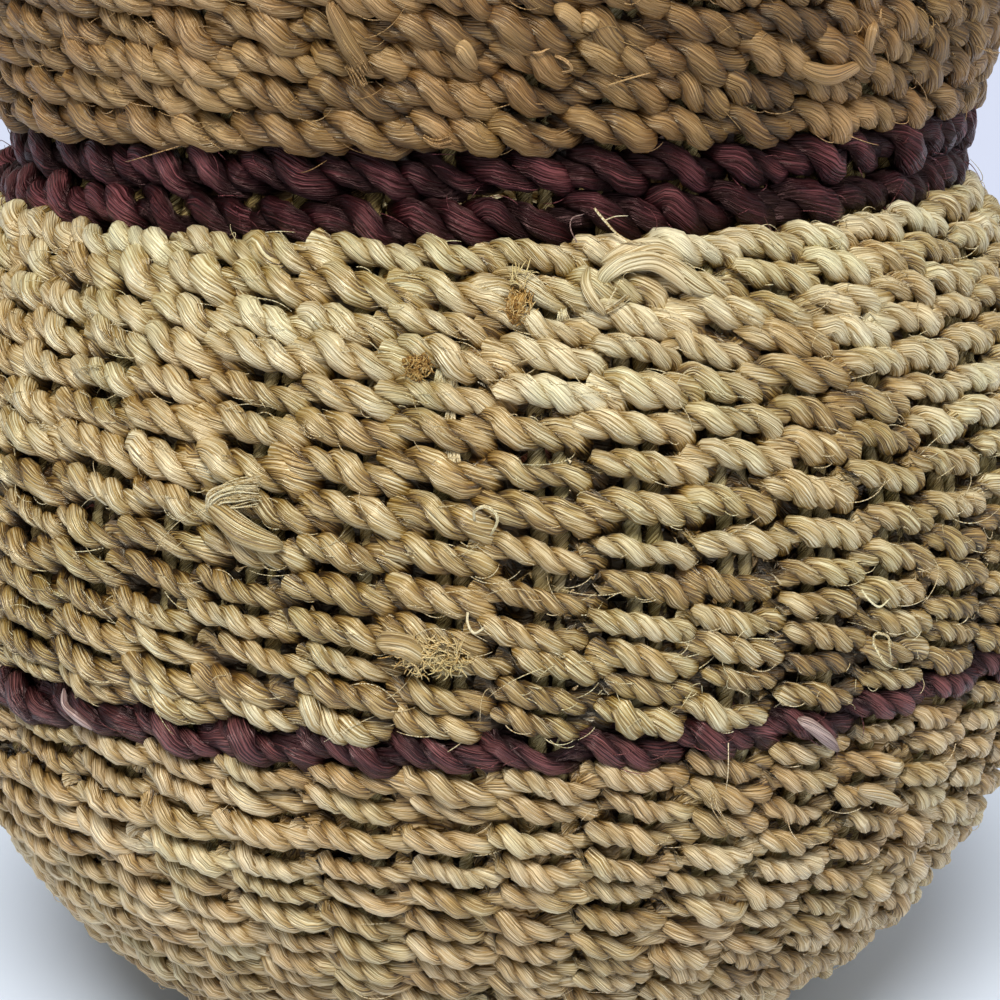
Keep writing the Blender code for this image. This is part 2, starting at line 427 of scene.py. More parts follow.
belly_centre = Vector((0.0, 0.0, wall.belly_height))
camera_right = Vector((math.cos(CAMERA_AZIMUTH), math.sin(CAMERA_AZIMUTH), 0.0))
level_back = Vector((math.sin(CAMERA_AZIMUTH), -math.cos(CAMERA_AZIMUTH), 0.0))
upright = Vector((0.0, 0.0, 1.0))
toward_camera = level_back * math.cos(CAMERA_ELEVATION) + upright * math.sin(CAMERA_ELEVATION)
camera_up = upright * math.cos(CAMERA_ELEVATION) - level_back * math.sin(CAMERA_ELEVATION)
pixel_at_belly = CAMERA_DISTANCE / FOCAL_PIXELS
aim = (belly_centre + camera_right * ((PHOTO_WIDTH / 2 - BELLY_PIXEL[0]) * pixel_at_belly)
       - camera_up * ((PHOTO_WIDTH / 2 - BELLY_PIXEL[1]) * pixel_at_belly))
camera_data = bpy.data.cameras.new("camera")
camera_data.sensor_width = SENSOR_WIDTH
camera_data.lens = FOCAL_PIXELS / PHOTO_WIDTH * SENSOR_WIDTH
camera = bpy.data.objects.new("camera", camera_data)
bpy.context.scene.collection.objects.link(camera)
camera.location = belly_centre + toward_camera * CAMERA_DISTANCE
camera.rotation_euler = (aim - camera.location).to_track_quat("-Z", "Y").to_euler()
bpy.context.scene.camera = camera
print("lens, mm:", round(camera_data.lens, 1), "distance, mm:", round(CAMERA_DISTANCE / MM))

# %% [markdown]
# ## Floor, lamps and sky
# The basket stands on a plain pale floor whose colour is painted brighter round it, a painted pool of light
# that stands in against the basket's shadow. One broad soft lamp shines from high in front, a weak one fills
# in from the right, and a pale sky lights the shadows. The sky is too grey to be seen as the backdrop, so
# camera rays get a brighter colour through a Light Path node.

# %% Floor
FLOOR_HALF = 8.0
FLOOR_PAINTED_LIGHT_REACH = 0.3
FLOOR_ROUGHNESS = 0.8
FLOOR_PAINTED_LIGHT_STOPS = [(0.0, linear(204, 213, 238)), (0.6, linear(223, 235, 254)), (1.0, linear(226, 238, 255))]

floor_mesh = bpy.data.meshes.new("floor")
corners = [(x * FLOOR_HALF, y * FLOOR_HALF, 0.0) for x, y in ((-1, -1), (1, -1), (1, 1), (-1, 1))]
floor_mesh.from_pydata(corners, [], [(0, 1, 2, 3)])
floor = bpy.data.objects.new("floor", floor_mesh)
bpy.context.scene.collection.objects.link(floor)
floor_sheet = Sheet("floor")
# painted light: the floor's colour is paler near the basket, a painted pool of light against its shadow
place = floor_sheet.node("ShaderNodeTexCoord", {}, {}, 3)
near = floor_sheet.node("ShaderNodeVectorMath", {"operation": "SCALE"},
                        {0: place, 3: 1.0 / FLOOR_PAINTED_LIGHT_REACH})
share = floor_sheet.node("ShaderNodeTexGradient", {"gradient_type": "SPHERICAL"}, {"Vector": near}, 1)
colour = floor_sheet.node("ShaderNodeValToRGB", {"stops": FLOOR_PAINTED_LIGHT_STOPS}, {"Fac": share})
floor_sheet.feed(floor_sheet.shader.inputs["Base Color"], colour)
floor_sheet.feed(floor_sheet.shader.inputs["Roughness"], FLOOR_ROUGHNESS)
floor_mesh.materials.append(floor_sheet.material)
print("floor, m across:", 2 * FLOOR_HALF)

# %% Sky, backdrop and lamps
SKY_COLOUR = (1.0, 0.98, 0.94, 1.0)
SKY_STRENGTH = 0.36
BACKDROP_COLOUR = (*linear(214, 221, 241), 1.0)

bpy.context.scene.view_settings.view_transform = "Standard"
world = bpy.data.worlds.new("sky")
bpy.context.scene.world = world
world.use_nodes = True
nodes = world.node_tree.nodes
nodes["Background"].inputs["Color"].default_value = SKY_COLOUR
nodes["Background"].inputs["Strength"].default_value = SKY_STRENGTH
backdrop = nodes.new("ShaderNodeBackground")
backdrop.inputs["Color"].default_value = BACKDROP_COLOUR
ray = nodes.new("ShaderNodeLightPath")
either = nodes.new("ShaderNodeMixShader")
for source, target in ((ray.outputs["Is Camera Ray"], either.inputs[0]),
                       (nodes["Background"].outputs[0], either.inputs[1]),
                       (backdrop.outputs[0], either.inputs[2]),
                       (either.outputs[0], nodes["World Output"].inputs["Surface"])):
    world.node_tree.links.new(source, target)


def add_sun(name, toward, strength, spread, colour):
    """A lamp so far away that it lights near and far floor alike. spread is its width in the sky."""
    data = bpy.data.lights.new(name, "SUN")
    data.energy = strength
    data.angle = math.radians(spread)
    data.color = colour
    lamp = bpy.data.objects.new(name, data)
    lamp.rotation_euler = toward.to_track_quat("Z", "Y").to_euler()
    bpy.context.scene.collection.objects.link(lamp)
    print("lamp", name, "strength", strength)


add_sun("window", Vector((-0.05, -0.8, 1.0)), 3.1, 24.0, (1.0, 0.98, 0.94))
add_sun("fill", Vector((1.0, -0.5, 0.6)), 0.45, 60.0, (1.0, 0.97, 0.94))

# %% [markdown]
# ## Where the rows lie
# The weft climbs one row for each turn round the basket, so the rows are one spiral with a change of
# colour where a stripe begins. Rows are packed by hand and not evenly. The photograph shows each row of the
# belly and most of those under it, and a row's angle above the belly's widest ring is read there. Rows out
# of sight are evenly spaced.

# %% Rows from the knot to the rim
ROW_PITCH = 3.95 * MM
STRIPE_DROP = 10.2 * MM
BASE_ROWS = 9
LOWER_ROWS = 16
COLLAR_ROWS = 9
LOWER_SEEN_DEGREES = (-34.0, -31.7, -28.8, -25.6, -22.3, -19.5, -16.1, -13.1, -10.5)
BELLY_SEEN_DEGREES = (-4.8, -2.7, 0.0, 2.7, 5.6, 8.8, 12.2, 15.6, 18.8, 21.9, 24.8, 27.6, 30.5, 33.4)
NECK_SEEN = (3.6 * MM, 9.7 * MM)
COLLAR_SEEN = (2.9 * MM, 7.4 * MM, 11.4 * MM, 14.8 * MM)
TOP_ROW_RAISED = 0.9 * MM
WARP_COUNT = 44
SECOND_START_RADIUS = 16.0 * MM
THIRD_START_RADIUS = 29.0 * MM
START_ANGLE = TURN * 12 / WARP_COUNT
FRONT_SHARE = 0.75 - START_ANGLE / TURN


def row_middles(start, end, rows):
    """Middles of evenly spaced rows between two lengths along the wall."""
    return start + (end - start) * (np.arange(rows) + 0.5) / rows


lower_seen = wall.at_angle(np.array(LOWER_SEEN_DEGREES))
lower_hidden = row_middles(wall.foot_end, lower_seen[0] - ROW_PITCH / 2, LOWER_ROWS - len(lower_seen))
collar_seen = wall.neck_end + np.array(COLLAR_SEEN)
collar_hidden = row_middles(collar_seen[-1] + ROW_PITCH / 2, wall.end + TOP_ROW_RAISED,
                            COLLAR_ROWS - len(collar_seen))
places_of = {
    "base": row_middles(KNOT_RADIUS, wall.foot_end, BASE_ROWS),
    "lower": np.concatenate([lower_hidden, lower_seen]),
    "stripe": wall.at_angle(np.array([-math.degrees(math.asin(STRIPE_DROP / wall.belly))])),
    "belly": wall.at_angle(np.array(BELLY_SEEN_DEGREES)),
    "neck": wall.belly_end + np.array(NECK_SEEN),
    "collar": np.concatenate([collar_seen, collar_hidden]),
}
row_places = np.concatenate(list(places_of.values()))
row_total = len(row_places)
row_warps = np.select([row_places < SECOND_START_RADIUS, row_places < THIRD_START_RADIUS],
                      [WARP_COUNT // 4, WARP_COUNT // 2], WARP_COUNT)
row_start = np.concatenate([[0], np.cumsum(row_warps)])
band_rows = {}
count = 0
for band, places in places_of.items():
    band_rows[band] = slice(count, count + len(places))
    count += len(places)
print("rows:", row_total, "smallest step, mm:", round(float(np.diff(row_places).min() / MM), 2))

# %% [markdown]
# ## How rows differ
# Rows of one band aren't alike either. Low on the belly cords sag between warps and lie close, higher up they
# are plumper, and their colour is painted paler as painted light, for there the belly turns up towards the
# lamp. The neck is drawn in, the base is pressed flat, and behind the warps a cord spreads to close the
# wall. Each such property has a value for each row.

# %% Properties of the rows
NECK_SUNK = 1.8 * MM
BASE_SUNK = 0.5 * MM
LOWER_RAISED = 0.6 * MM
RAISED_FROM = 3
RAISED_TO = 2
PAINTED_LIGHT_DEGREES = (6.0, 26.0)
PAINTED_LIGHT_TONE = 0.23
FATTER_DEGREES = (4.0, 18.0)
FATTER_SHARES = (0.9, 1.06)
SAG_DEGREES = (-5.0, 5.0)
SAG_SHARES = (1.15, 0.3)
COLLAR_SAG_SHARE = 0.45
BACK_PLUMP_SHARES = (0.9, 0.5, 0.15)
CROSS_OUT_SHARES = (0.12, 0.34)


def by_row(usual, **bands):
    """One value for each row: the usual one, and for the bands named another, or one for each row."""
    rows = np.full(row_total, usual)
    for band, values in bands.items():
        rows[band_rows[band]] = values
    return rows


def up_the_belly(degrees, values):
    """One value for each row of the belly, which changes evenly between two angles."""
    return np.interp(BELLY_SEEN_DEGREES, degrees, values)


row_depth = by_row(0.0, base=BASE_SUNK, neck=NECK_SUNK)
row_depth[band_rows["lower"].start + RAISED_FROM:band_rows["lower"].stop - RAISED_TO] = -LOWER_RAISED
# painted light: the upper belly rows are painted paler because they face the light from above
row_painted_light = by_row(0.0, belly=up_the_belly(PAINTED_LIGHT_DEGREES, (0.0, PAINTED_LIGHT_TONE)))
row_fat = by_row(1.0, lower=FATTER_SHARES[0], belly=up_the_belly(FATTER_DEGREES, FATTER_SHARES))
row_sag = by_row(SAG_SHARES[0], belly=up_the_belly(SAG_DEGREES, SAG_SHARES), neck=SAG_SHARES[1],
                 collar=COLLAR_SAG_SHARE)
row_back = by_row(BACK_PLUMP_SHARES[0], belly=BACK_PLUMP_SHARES[1], neck=BACK_PLUMP_SHARES[2],
                  collar=BACK_PLUMP_SHARES[2])
row_cross = by_row(CROSS_OUT_SHARES[0], belly=up_the_belly(SAG_DEGREES, CROSS_OUT_SHARES),
                   neck=CROSS_OUT_SHARES[1], collar=CROSS_OUT_SHARES[1])
print("sag of the rows, from", row_sag.max(), "to", row_sag.min())

# %% [markdown]
# ## Crossings
# Number the places where the spiral meets a warp: crossing 0, 1, 2 and so on, all the way to the rim. Each
# has an angle round the axis and a length along the wall. No weaver lands twice on the same spot, so each
# crossing also has small seeded errors: how far it strays up or down, out, or along, how plump the cord is
# there and how steeply it lies. Some errors are quick, from crossing to crossing, and some drift slowly.

# %% Crossings and their small errors
SEED = 20
UP_ERRORS = (0.2 * MM, 0.22 * MM, 7)
OUT_ERRORS = (0.16 * MM, 0.14 * MM, 9)
TONE_ERRORS = (0.11, 0.05, 11)
TONE_MIDDLE = 0.38
SHAPE_ERROR = 0.12
SWING_ERROR = 0.3
LOOSE_SHARE = 0.08
LOOSE_LAY_SHARE = 1.6
ERROR_LIMIT = 2.2

rng = np.random.default_rng(SEED)
turns = np.concatenate([row + np.arange(n) / n for row, n in enumerate(row_warps)])
cross_count = len(turns)
cross_angle = START_ANGLE + TURN * turns
padded_places = np.concatenate([[row_places[0] - ROW_PITCH / 2], row_places,
                                [row_places[-1] + ROW_PITCH / 2]])
padded_rows = np.concatenate([[-0.5], np.arange(row_total), [row_total - 0.5]])
cross_length = np.interp(turns - FRONT_SHARE, padded_rows, padded_places)
cross_depth, cross_painted_light, cross_fat, cross_sag, cross_back, cross_out = (
    np.interp(turns - FRONT_SHARE, np.arange(row_total), rows)
    for rows in (row_depth, row_painted_light, row_fat, row_sag, row_back, row_cross))


def errors(spread):
    """One bell-shaped error for each crossing, cut off at ERROR_LIMIT times its spread."""
    return spread * np.clip(rng.standard_normal(cross_count), -ERROR_LIMIT, ERROR_LIMIT)


def errors_and_drift(spread, slow_spread, spacing):
    """Quick errors and a slow one: one mark every few crossings, with the ones between read from those."""
    quick = errors(spread)
    marks = np.arange(0, cross_count + 2 * spacing, spacing)
    return quick + slow_spread * np.interp(np.arange(cross_count), marks, rng.standard_normal(len(marks)))


stray_up = errors_and_drift(*UP_ERRORS)
stray_out = errors_and_drift(*OUT_ERRORS) - cross_depth
stray_along = errors(SHAPE_ERROR)
plump = cross_fat * (1.0 + errors(SHAPE_ERROR))
swing = 1.0 + errors(SWING_ERROR)
tone_here = TONE_MIDDLE + errors_and_drift(*TONE_ERRORS) + cross_painted_light
uneven = errors(SHAPE_ERROR)
loose = rng.random(cross_count) < LOOSE_SHARE
lay_share = np.where(loose, LOOSE_LAY_SHARE, plump * (1.0 + errors(SHAPE_ERROR)))
print("crossings:", cross_count, "spun loosely:", int(loose.sum()))

# %% [markdown]
# ## Plies
# Each cord is itself two plies twisted round each other, one to two turns for a warp. Making the plies as
# separate tubes gives the deep groove between them that carries the whole look of a cord. Seen from outside
# each ply shows as a row of long leaves that slant the same way as the twist.

# %% Two plies round a line
PLY_OFFSET_SHARE = 0.21
PLY_DEEP_SHARE = 0.285
PLY_WIDE_SHARE = 0.335
SWELL_SHARE = 0.08
SWELL_LENGTH = 3.3 * MM
UV_LENGTH = 500.0
RING = np.radians([-180.0, -112.0, -70.0, -35.0, 0.0, 35.0, 70.0, 112.0, 180.0])


def cord_plies(centre, out, width, lay, phase, tone, uneven_share):
    """Two plies round a centre line, S twisted.

    twist = -turn x distance / lay, and each ply's centre stands off the line by a share of the width in
    the direction across cos(twist) + above sin(twist). Its ring is an ellipse, wider than deep, turned to
    face away from the line. uneven_share makes one ply that much thicker and the other thinner.
    """
    ahead = unit(np.gradient(centre, axis=0))
    across, above = sides_of(ahead, out)
    step = np.linalg.norm(np.diff(centre, axis=0), axis=-1)
    twist = -TURN * np.concatenate([[0.0], np.cumsum(step / lay[1:])]) + phase
    grids = []
    for half in (0, 1):
        turn = (twist + math.pi * half)[:, None]
        size = (width * (1.0 + uneven_share * (1 - 2 * half)))[:, None]
        away = np.cos(turn) * across + np.sin(turn) * above
        spine = centre + away * size * PLY_OFFSET_SHARE
        facing, beside = sides_of(unit(np.gradient(spine, axis=0)), away)
        walk = walked(spine)
        wave = TURN * walk[:, None] / SWELL_LENGTH + 2.0 * RING[None, :-1] + phase + half
        swell = size * (1.0 + SWELL_SHARE * np.sin(wave))
        deep = (PLY_DEEP_SHARE * swell * np.cos(RING[:-1]))[..., None]
        wide = (PLY_WIDE_SHARE * swell * np.sin(RING[:-1]))[..., None]
        rings = spine[:, None, :] + deep * facing[:, None, :] + wide * beside[:, None, :]
        round_way = RING * float(width.mean()) * PLY_WIDE_SHARE / MM
        grids.append((rings, walk / MM + rng.uniform(0.0, UV_LENGTH), round_way, tone))
    return grids


# %% [markdown]
# ## The twining
# Between crossings the two cords wind round each other. In the section of a row each cord's centre goes
# half way round a flat ellipse for every warp: out in front at its own crossings, behind at the others. In
# front it slants down to the right, which is an S twist. The cord is thick where it lies free and is
# pinched where it dives between warps.

# %% One cord of the weft
REACH_SHARE = 0.66
REACH_UP_SHARE = 0.25
SWING_FLATNESS = 0.35
LEAD = math.radians(26.0)
PINCH_SHARE = 0.1
PINCH_POWER = 1.3
BACK_EARLY = 0.3
BACK_POWER = 0.6
# painted light: each ply's crest is painted paler as a painted highlight, its flanks darker as painted shade
PAINTED_CREST_LIGHT = 0.31
LIT_SHARE = 0.76
FLOOR_CLEAR = 0.02 * MM


def smooth_read(values, place):
    """Values read between crossings with an ease in and out, so that a cord has no kinks."""
    low = np.clip(np.floor(place).astype(int), 0, len(values) - 2)
    share = place - low
    share = share * share * (3 - 2 * share)
    return values[low] * (1 - share) + values[low + 1] * share


def steps_along(first, last, own, front_steps, back_steps):
    """Sample places from crossing first to last, close together on the cord's own front crossings."""
    crossings = np.arange(first, last + 1)
    places = []
    for parity, steps in ((0, front_steps), (1, back_steps)):
        chosen = crossings[(crossings - own) % 2 == parity]
        places.append((chosen[:, None] - 0.5 + np.arange(steps) / steps).reshape(-1))
    places = np.sort(np.concatenate(places))
    return np.concatenate([[first], places[(places > first) & (places < last)], [last]])


def middle_at(place):
    """The wall's middle, outward and upward directions at places counted in crossings."""
    index = np.arange(cross_count)
    return wall.frame(np.interp(place, index, cross_length), np.interp(place, index, cross_angle))


def cord_line(place, own, width):
    """Centre line of a cord of the weft at places counted in crossings, with its directions and size.

    turn = half a turn for each crossing. The centre swings out with cos(turn + LEAD), flattened in front,
    and climbs against sin(turn). It sags where it lies in front, and is thicker where it lies behind.
    """
    turn = math.pi * (place - own)
    front = np.cos(turn + LEAD)
    point, out, up = middle_at(place + smooth_read(stray_along, place))
    swing_out = REACH_SHARE * ((1.0 + SWING_FLATNESS) * front - SWING_FLATNESS * front ** 3)
    reach = width * (swing_out + smooth_read(cross_out, place) * (1.0 - front ** 2) ** 2)
    reach = reach + smooth_read(stray_out, place)
    droop = np.sin(turn) + smooth_read(cross_sag, place) * np.maximum(0.0, np.cos(turn))
    climb = smooth_read(stray_up, place) - REACH_UP_SHARE * width * smooth_read(swing, place) * droop
    centre = point + out * reach[:, None] + up * climb[:, None]
    behind_share = smooth_read(cross_back, place) * np.maximum(0.0, BACK_EARLY - front) ** BACK_POWER
    pinch = PINCH_SHARE * (1.0 - np.abs(front)) ** PINCH_POWER
    return centre, out, up, width * smooth_read(plump, place) * (1.0 - pinch + behind_share)


def weft(first, last, own, band):
    """The cord that lies in front at crossings of its own parity, from one crossing to another.

    Deep in the weave a point's tone sinks with its depth, as painted shade, and each ply's crest is painted
    paler, as a painted highlight, with its flanks in painted shade:
    tone = cord's tone + crest x cos(ring) - shade x (LIT_SHARE - distance from the middle / width)
    with nothing taken off beyond LIT_SHARE. Cords under the base are pressed flat on the floor.
    """
    place = steps_along(first, last, own, *band.steps)
    centre, out, up, thick = cord_line(place, own, band.width)
    lays = band.lay * smooth_read(lay_share, place)
    cord_tone = band.tone + smooth_read(tone_here, place)
    grids = cord_plies(centre, out, thick, lays, rng.uniform(0.0, TURN), cord_tone,
                       smooth_read(uneven, place))
    middle = middle_at(place)[0]
    toned = []
    for rings, along, round_way, tone in grids:
        distance = np.abs(((rings - middle[:, None]) * out[:, None]).sum(-1)) / band.width
        # painted shade: the tone sinks the deeper a point lies in the weave
        painted_shade = band.shade * np.clip(LIT_SHARE - distance, 0.0, 1.0)
        rings[..., 2] = np.maximum(rings[..., 2], FLOOR_CLEAR)
        toned.append((rings, along, round_way, tone[:, None] + PAINTED_CREST_LIGHT * np.cos(RING[:-1]) - painted_shade))
    return toned


def behind(crossing, own):
    """The nearest crossing at or above the given one where the cord of that parity is behind."""
    return crossing + (crossing - own + 1) % 2


def band_grids(band, row, until):
    """Both cords of a band from the start of one row to the start of another."""
    grids = []
    for own in (0, 1):
        first = behind(int(row_start[row]), own)
        last = min(behind(int(row_start[until]), own), cross_count - 1)
        grids += weft(first, last, own, band)
    return grids


# %% [markdown]
# ## The bands
# Six bands follow each other up the wall. Each has its yarn, the width of its cords, their lay, which is the
# length of one full twist, a tone and how much painted shade darkens its depths. A band is cut into pieces of
# a few rows, so that no mesh grows too large. The neck's cords are thick and hardly twisted.

# %% The bands of weft
Band = namedtuple("Band", "name material slot node rows width lay tone shade steps")
BANDS = [
    Band("base", natural, "natural_sisal", "base_weft", 9, 3.5 * MM, 6.2 * MM, 0.06, 0.8, (9, 6)),
    Band("lower", natural, "natural_sisal", "lower_weft", 4, 3.35 * MM, 6.1 * MM, 0.04, 0.85, (14, 6)),
    Band("stripe", painted_lit_maroon, "maroon_sisal", "lower_stripe", 4, 3.8 * MM, 7.4 * MM, 0.0, 1.2, (19, 7)),
    Band("belly", straw, "straw_sisal", "belly_weft", 4, 3.6 * MM, 6.8 * MM, -0.08, 1.5, (19, 7)),
    Band("neck", maroon, "maroon_sisal", "neck_stripe", 4, 5.1 * MM, 13.0 * MM, -0.03, 1.1, (19, 7)),
    Band("collar", tan, "tan_sisal", "collar_weft", 4, 4.3 * MM, 8.4 * MM, -0.12, 1.15, (19, 7)),
]
for band in BANDS:
    rows = band_rows[band.name]
    for part, row in enumerate(range(rows.start, rows.stop, band.rows), 1):
        grids = band_grids(band, row, min(row + band.rows, rows.stop))
        add_piece("%s_twining_%d" % (band.node, part), grids, band.material,
                  (band.node + "_outer", band.node + "_inner"))

# %% [markdown]
# ## The warps
# Each warp is a pair of thinner strings side by side, hardly twisted. They show only in the gaps between
# rows, as short pale bundles of upright fibre. A quarter of them start at the knot, a quarter at a second
# ring and half at a third, and near those rings they are squeezed together.

# %% The warps
STRING_WIDTH = 2.4 * MM
STRING_FLAT_SHARE = 0.8
STRING_CROWD_SHARE = 0.47
STRING_LAY = 13.0 * MM
STRING_STEP = 2.0 * MM
STRING_SIDES = 7
STRING_WANDER = 0.16 * MM
STRING_TONE = 0.3
STRING_TONE_RANGE = 0.4
WANDER_POINTS = 24
NECK_SHADE = 0.3
NECK_SHADE_MARGIN = 1.5 * MM
WARP_STARTS = (KNOT_RADIUS, THIRD_START_RADIUS, SECOND_START_RADIUS, THIRD_START_RADIUS)


def string(warp, side, first):
    """One string of a pair: an ellipse that turns once for every lay as it climbs the wall."""
    length = np.arange(first, wall.end, STRING_STEP)
    radius, height, angle = wall.section(length)
    knots = np.linspace(first, wall.end, WANDER_POINTS)
    wander = STRING_WANDER * np.interp(length, knots, rng.standard_normal(WANDER_POINTS))
    crowd = np.select([length < SECOND_START_RADIUS, length < THIRD_START_RADIUS],
                      [WARP_COUNT / 4, WARP_COUNT / 2], WARP_COUNT)
    width = np.minimum(STRING_WIDTH, STRING_CROWD_SHARE * TURN * radius / crowd)
    around = TURN * warp / WARP_COUNT + (side * width / 2 + wander) / radius
    point, out, up = wall.frame(length, around)
    beside = np.cross(up, out)
    turn = (TURN * length / STRING_LAY + rng.uniform(0.0, TURN))[:, None]
    ring = TURN * np.arange(STRING_SIDES + 1) / STRING_SIDES
    wide = width[:, None] / 2 * np.cos(ring[:-1])
    flat = width[:, None] / 2 * STRING_FLAT_SHARE * np.sin(ring[:-1])
    outward = (wide * np.cos(turn) - flat * np.sin(turn))[..., None]
    sideways = (wide * np.sin(turn) + flat * np.cos(turn))[..., None]
    rings = point[:, None, :] + outward * out[:, None, :] + sideways * beside[:, None, :]
    neck = (length > wall.belly_end - NECK_SHADE_MARGIN) & (length < wall.neck_end + NECK_SHADE_MARGIN)
    tone = STRING_TONE + STRING_TONE_RANGE * rng.random() - NECK_SHADE * neck
    return rings, length / MM + rng.uniform(0.0, UV_LENGTH), ring * STRING_WIDTH / 2 / MM, tone


for part, first in enumerate(WARP_STARTS):
    members = range(part, WARP_COUNT, len(WARP_STARTS))
    grids = [string(warp, side, first) for warp in members for side in (-1, 1)]
    names = ["warp_%02d" % (warp + 1) for warp in members]
    add_piece("warps_%d" % (part + 1), grids, string_yarn, names)

# %% [markdown]
# ## The rim
# The picture doesn't show the rim, so it follows other baskets of this kind: a flat plait of three cords.
# Seen along the rim each cord's centre draws a figure of eight: it crosses the plait once while it goes up
# and down twice, and the three are a third of a turn apart.

# %% The plaited rim
RIM_CORD = 3.3 * MM
RIM_LAY = 7.4 * MM
RIM_ACROSS = 2.5 * MM
RIM_UP = 1.25 * MM
RIM_MIDDLE = 2.9 * MM
RIM_CYCLES = 34
RIM_STEPS = 760
GUESSED_TONE = 0.5


def even_plies(centre, facing, width, lay, phase):
    """The two plies of a cord that is the same all along."""
    steps = len(centre)
    return cord_plies(centre, facing, np.full(steps, width), np.full(steps, lay), phase,
                      np.full(steps, GUESSED_TONE), np.zeros(steps))


around = np.linspace(0.0, TURN, RIM_STEPS)
end_point, end_out, end_up = wall.frame(np.full(RIM_STEPS, wall.end), around)
grids = []
for cord in range(3):
    phase = TURN * cord / 3
    turn = around * RIM_CYCLES + phase
    across = (RIM_ACROSS * np.sin(turn))[:, None]
    lift = (RIM_MIDDLE + RIM_UP * np.sin(2 * turn))[:, None]
    centre = end_point + end_out * across + end_up * lift
    run = walked(centre)[-1]
    facing = unit(end_out * np.sin(turn)[:, None] + end_up)
    grids += even_plies(centre, facing, RIM_CORD, run / round(run / RIM_LAY), phase)
add_piece("rim_plait", grids, tan, ("rim_binding",))

# %% [markdown]
# ## The start knot
# The middle of the base is out of sight as well. Such a base starts at a small button of cord. Here the cord
# is wound from the middle of the underside outwards, up the side and back in on top.

# %% The start knot
KNOT_CORD = 2.6 * MM
KNOT_LAY = 5.6 * MM
KNOT_HEIGHT = 7.4 * MM
KNOT_STEP = 0.7 * MM
KNOT_INNER_SHARE = 0.35
KNOT_PITCH_SHARE = 0.92
KNOT_SAMPLES = 2000

low = KNOT_CORD / 2
high = KNOT_HEIGHT - KNOT_CORD / 2
inner = KNOT_CORD * KNOT_INNER_SHARE
outer = KNOT_RADIUS - KNOT_CORD / 2
route = np.array([(inner, low), (outer, low), (outer, high), (inner, high)])
marks = walked(route)
walk = np.linspace(0.0, marks[-1], KNOT_SAMPLES)
radius = np.interp(walk, marks, route[:, 0])
height = np.interp(walk, marks, route[:, 1])
angle = TURN * walk / (KNOT_CORD * KNOT_PITCH_SHARE)
centre = np.stack([radius * np.cos(angle), radius * np.sin(angle), height], -1)
run = walked(centre)
even = np.arange(0.0, run[-1], KNOT_STEP)
centre = np.stack([np.interp(even, run, centre[:, axis]) for axis in range(3)], -1)
facing = unit(centre - np.array([0.0, 0.0, KNOT_HEIGHT / 2]))
grids = even_plies(centre, facing, KNOT_CORD, KNOT_LAY, 0.0)
add_piece("knot_winding", grids, natural, ("start_knot",))

# %% [markdown]
# ## Loose fibres
# Sisal is hairy. Single fibres leave a cord, run beside it, arch out and come back. Each is a thin tube
# whose direction turns at a steady rate: it starts tilted out of the surface and bends back towards it
# while it also swings sideways.

# %% Loose fibres as tubes
HAIR_WIDTH = 0.14 * MM
HAIR_STEPS = 8
HAIR_SIDES = 3
HAIR_TONE = 0.8
HAIR_TAPER = 0.55
HAIR_NUDGE = 0.01
HAIR_UV_STEP = 3.0
FIBRE_UV_SHARE = 1 / 8


def hairs(base, ahead, away, length, tilt, bend, heading, swing_turn, width=HAIR_WIDTH):
    """Tubes for many fibres at once. For share s of the length the fibre points along
    cos(tilt - bend s) (cos(heading + swing s) ahead + sin(heading + swing s) beside)
    + sin(tilt - bend s) away.
    """
    share = (np.arange(HAIR_STEPS) + 0.5) / HAIR_STEPS
    rise = tilt[:, None] - bend[:, None] * share
    turn = heading[:, None] + swing_turn[:, None] * share
    beside = np.cross(away, ahead)
    along = np.cos(turn)[..., None] * ahead[:, None] + np.sin(turn)[..., None] * beside[:, None]
    way = np.cos(rise)[..., None] * along + np.sin(rise)[..., None] * away[:, None]
    step = (length / HAIR_STEPS)[:, None, None]
    spine = np.concatenate([base[:, None], base[:, None] + np.cumsum(way * step, 1)], 1)
    way = np.concatenate([way[:, :1], way], 1)
    across, above = sides_of(way, np.broadcast_to(away[:, None], way.shape) + HAIR_NUDGE * beside[:, None])
    walk = np.linspace(0.0, 1.0, HAIR_STEPS + 1)
    taper = width / 2 * (1.0 - HAIR_TAPER * walk ** 2)
    ring = TURN * np.arange(HAIR_SIDES + 1) / HAIR_SIDES
    first = (taper[:, None] * np.cos(ring[:-1]))[None, ..., None]
    second = (taper[:, None] * np.sin(ring[:-1]))[None, ..., None]
    rings = spine[:, :, None] + first * across[:, :, None] + second * above[:, :, None]
    tones = np.full(HAIR_STEPS + 1, HAIR_TONE)
    return [(rings[i], length[i] / MM * walk + HAIR_UV_STEP * i, ring * width * FIBRE_UV_SHARE / MM, tones)
            for i in range(len(base))]


# %% Loose fibres along the cords
HAIR_COUNTS = {"lower": 320, "stripe": 80, "belly": 2000, "neck": 160, "collar": 820}
SHORT_HAIRS = (1.2 * MM, 4.0 * MM)
LONG_HAIRS = (4.0 * MM, 9.0 * MM)
SHORT_PER_LONG = 6
HAIR_SHIFT = 0.4
HAIR_AHEAD = 0.04
HAIR_LEAN = 1.3
HAIR_ROOT_SHARE = 0.93
HAIR_TILTS = (0.15, 0.85)
HAIR_BENDS = (1.6, 2.8)
HAIR_HEADING = 0.5
HAIR_SWING = 1.4


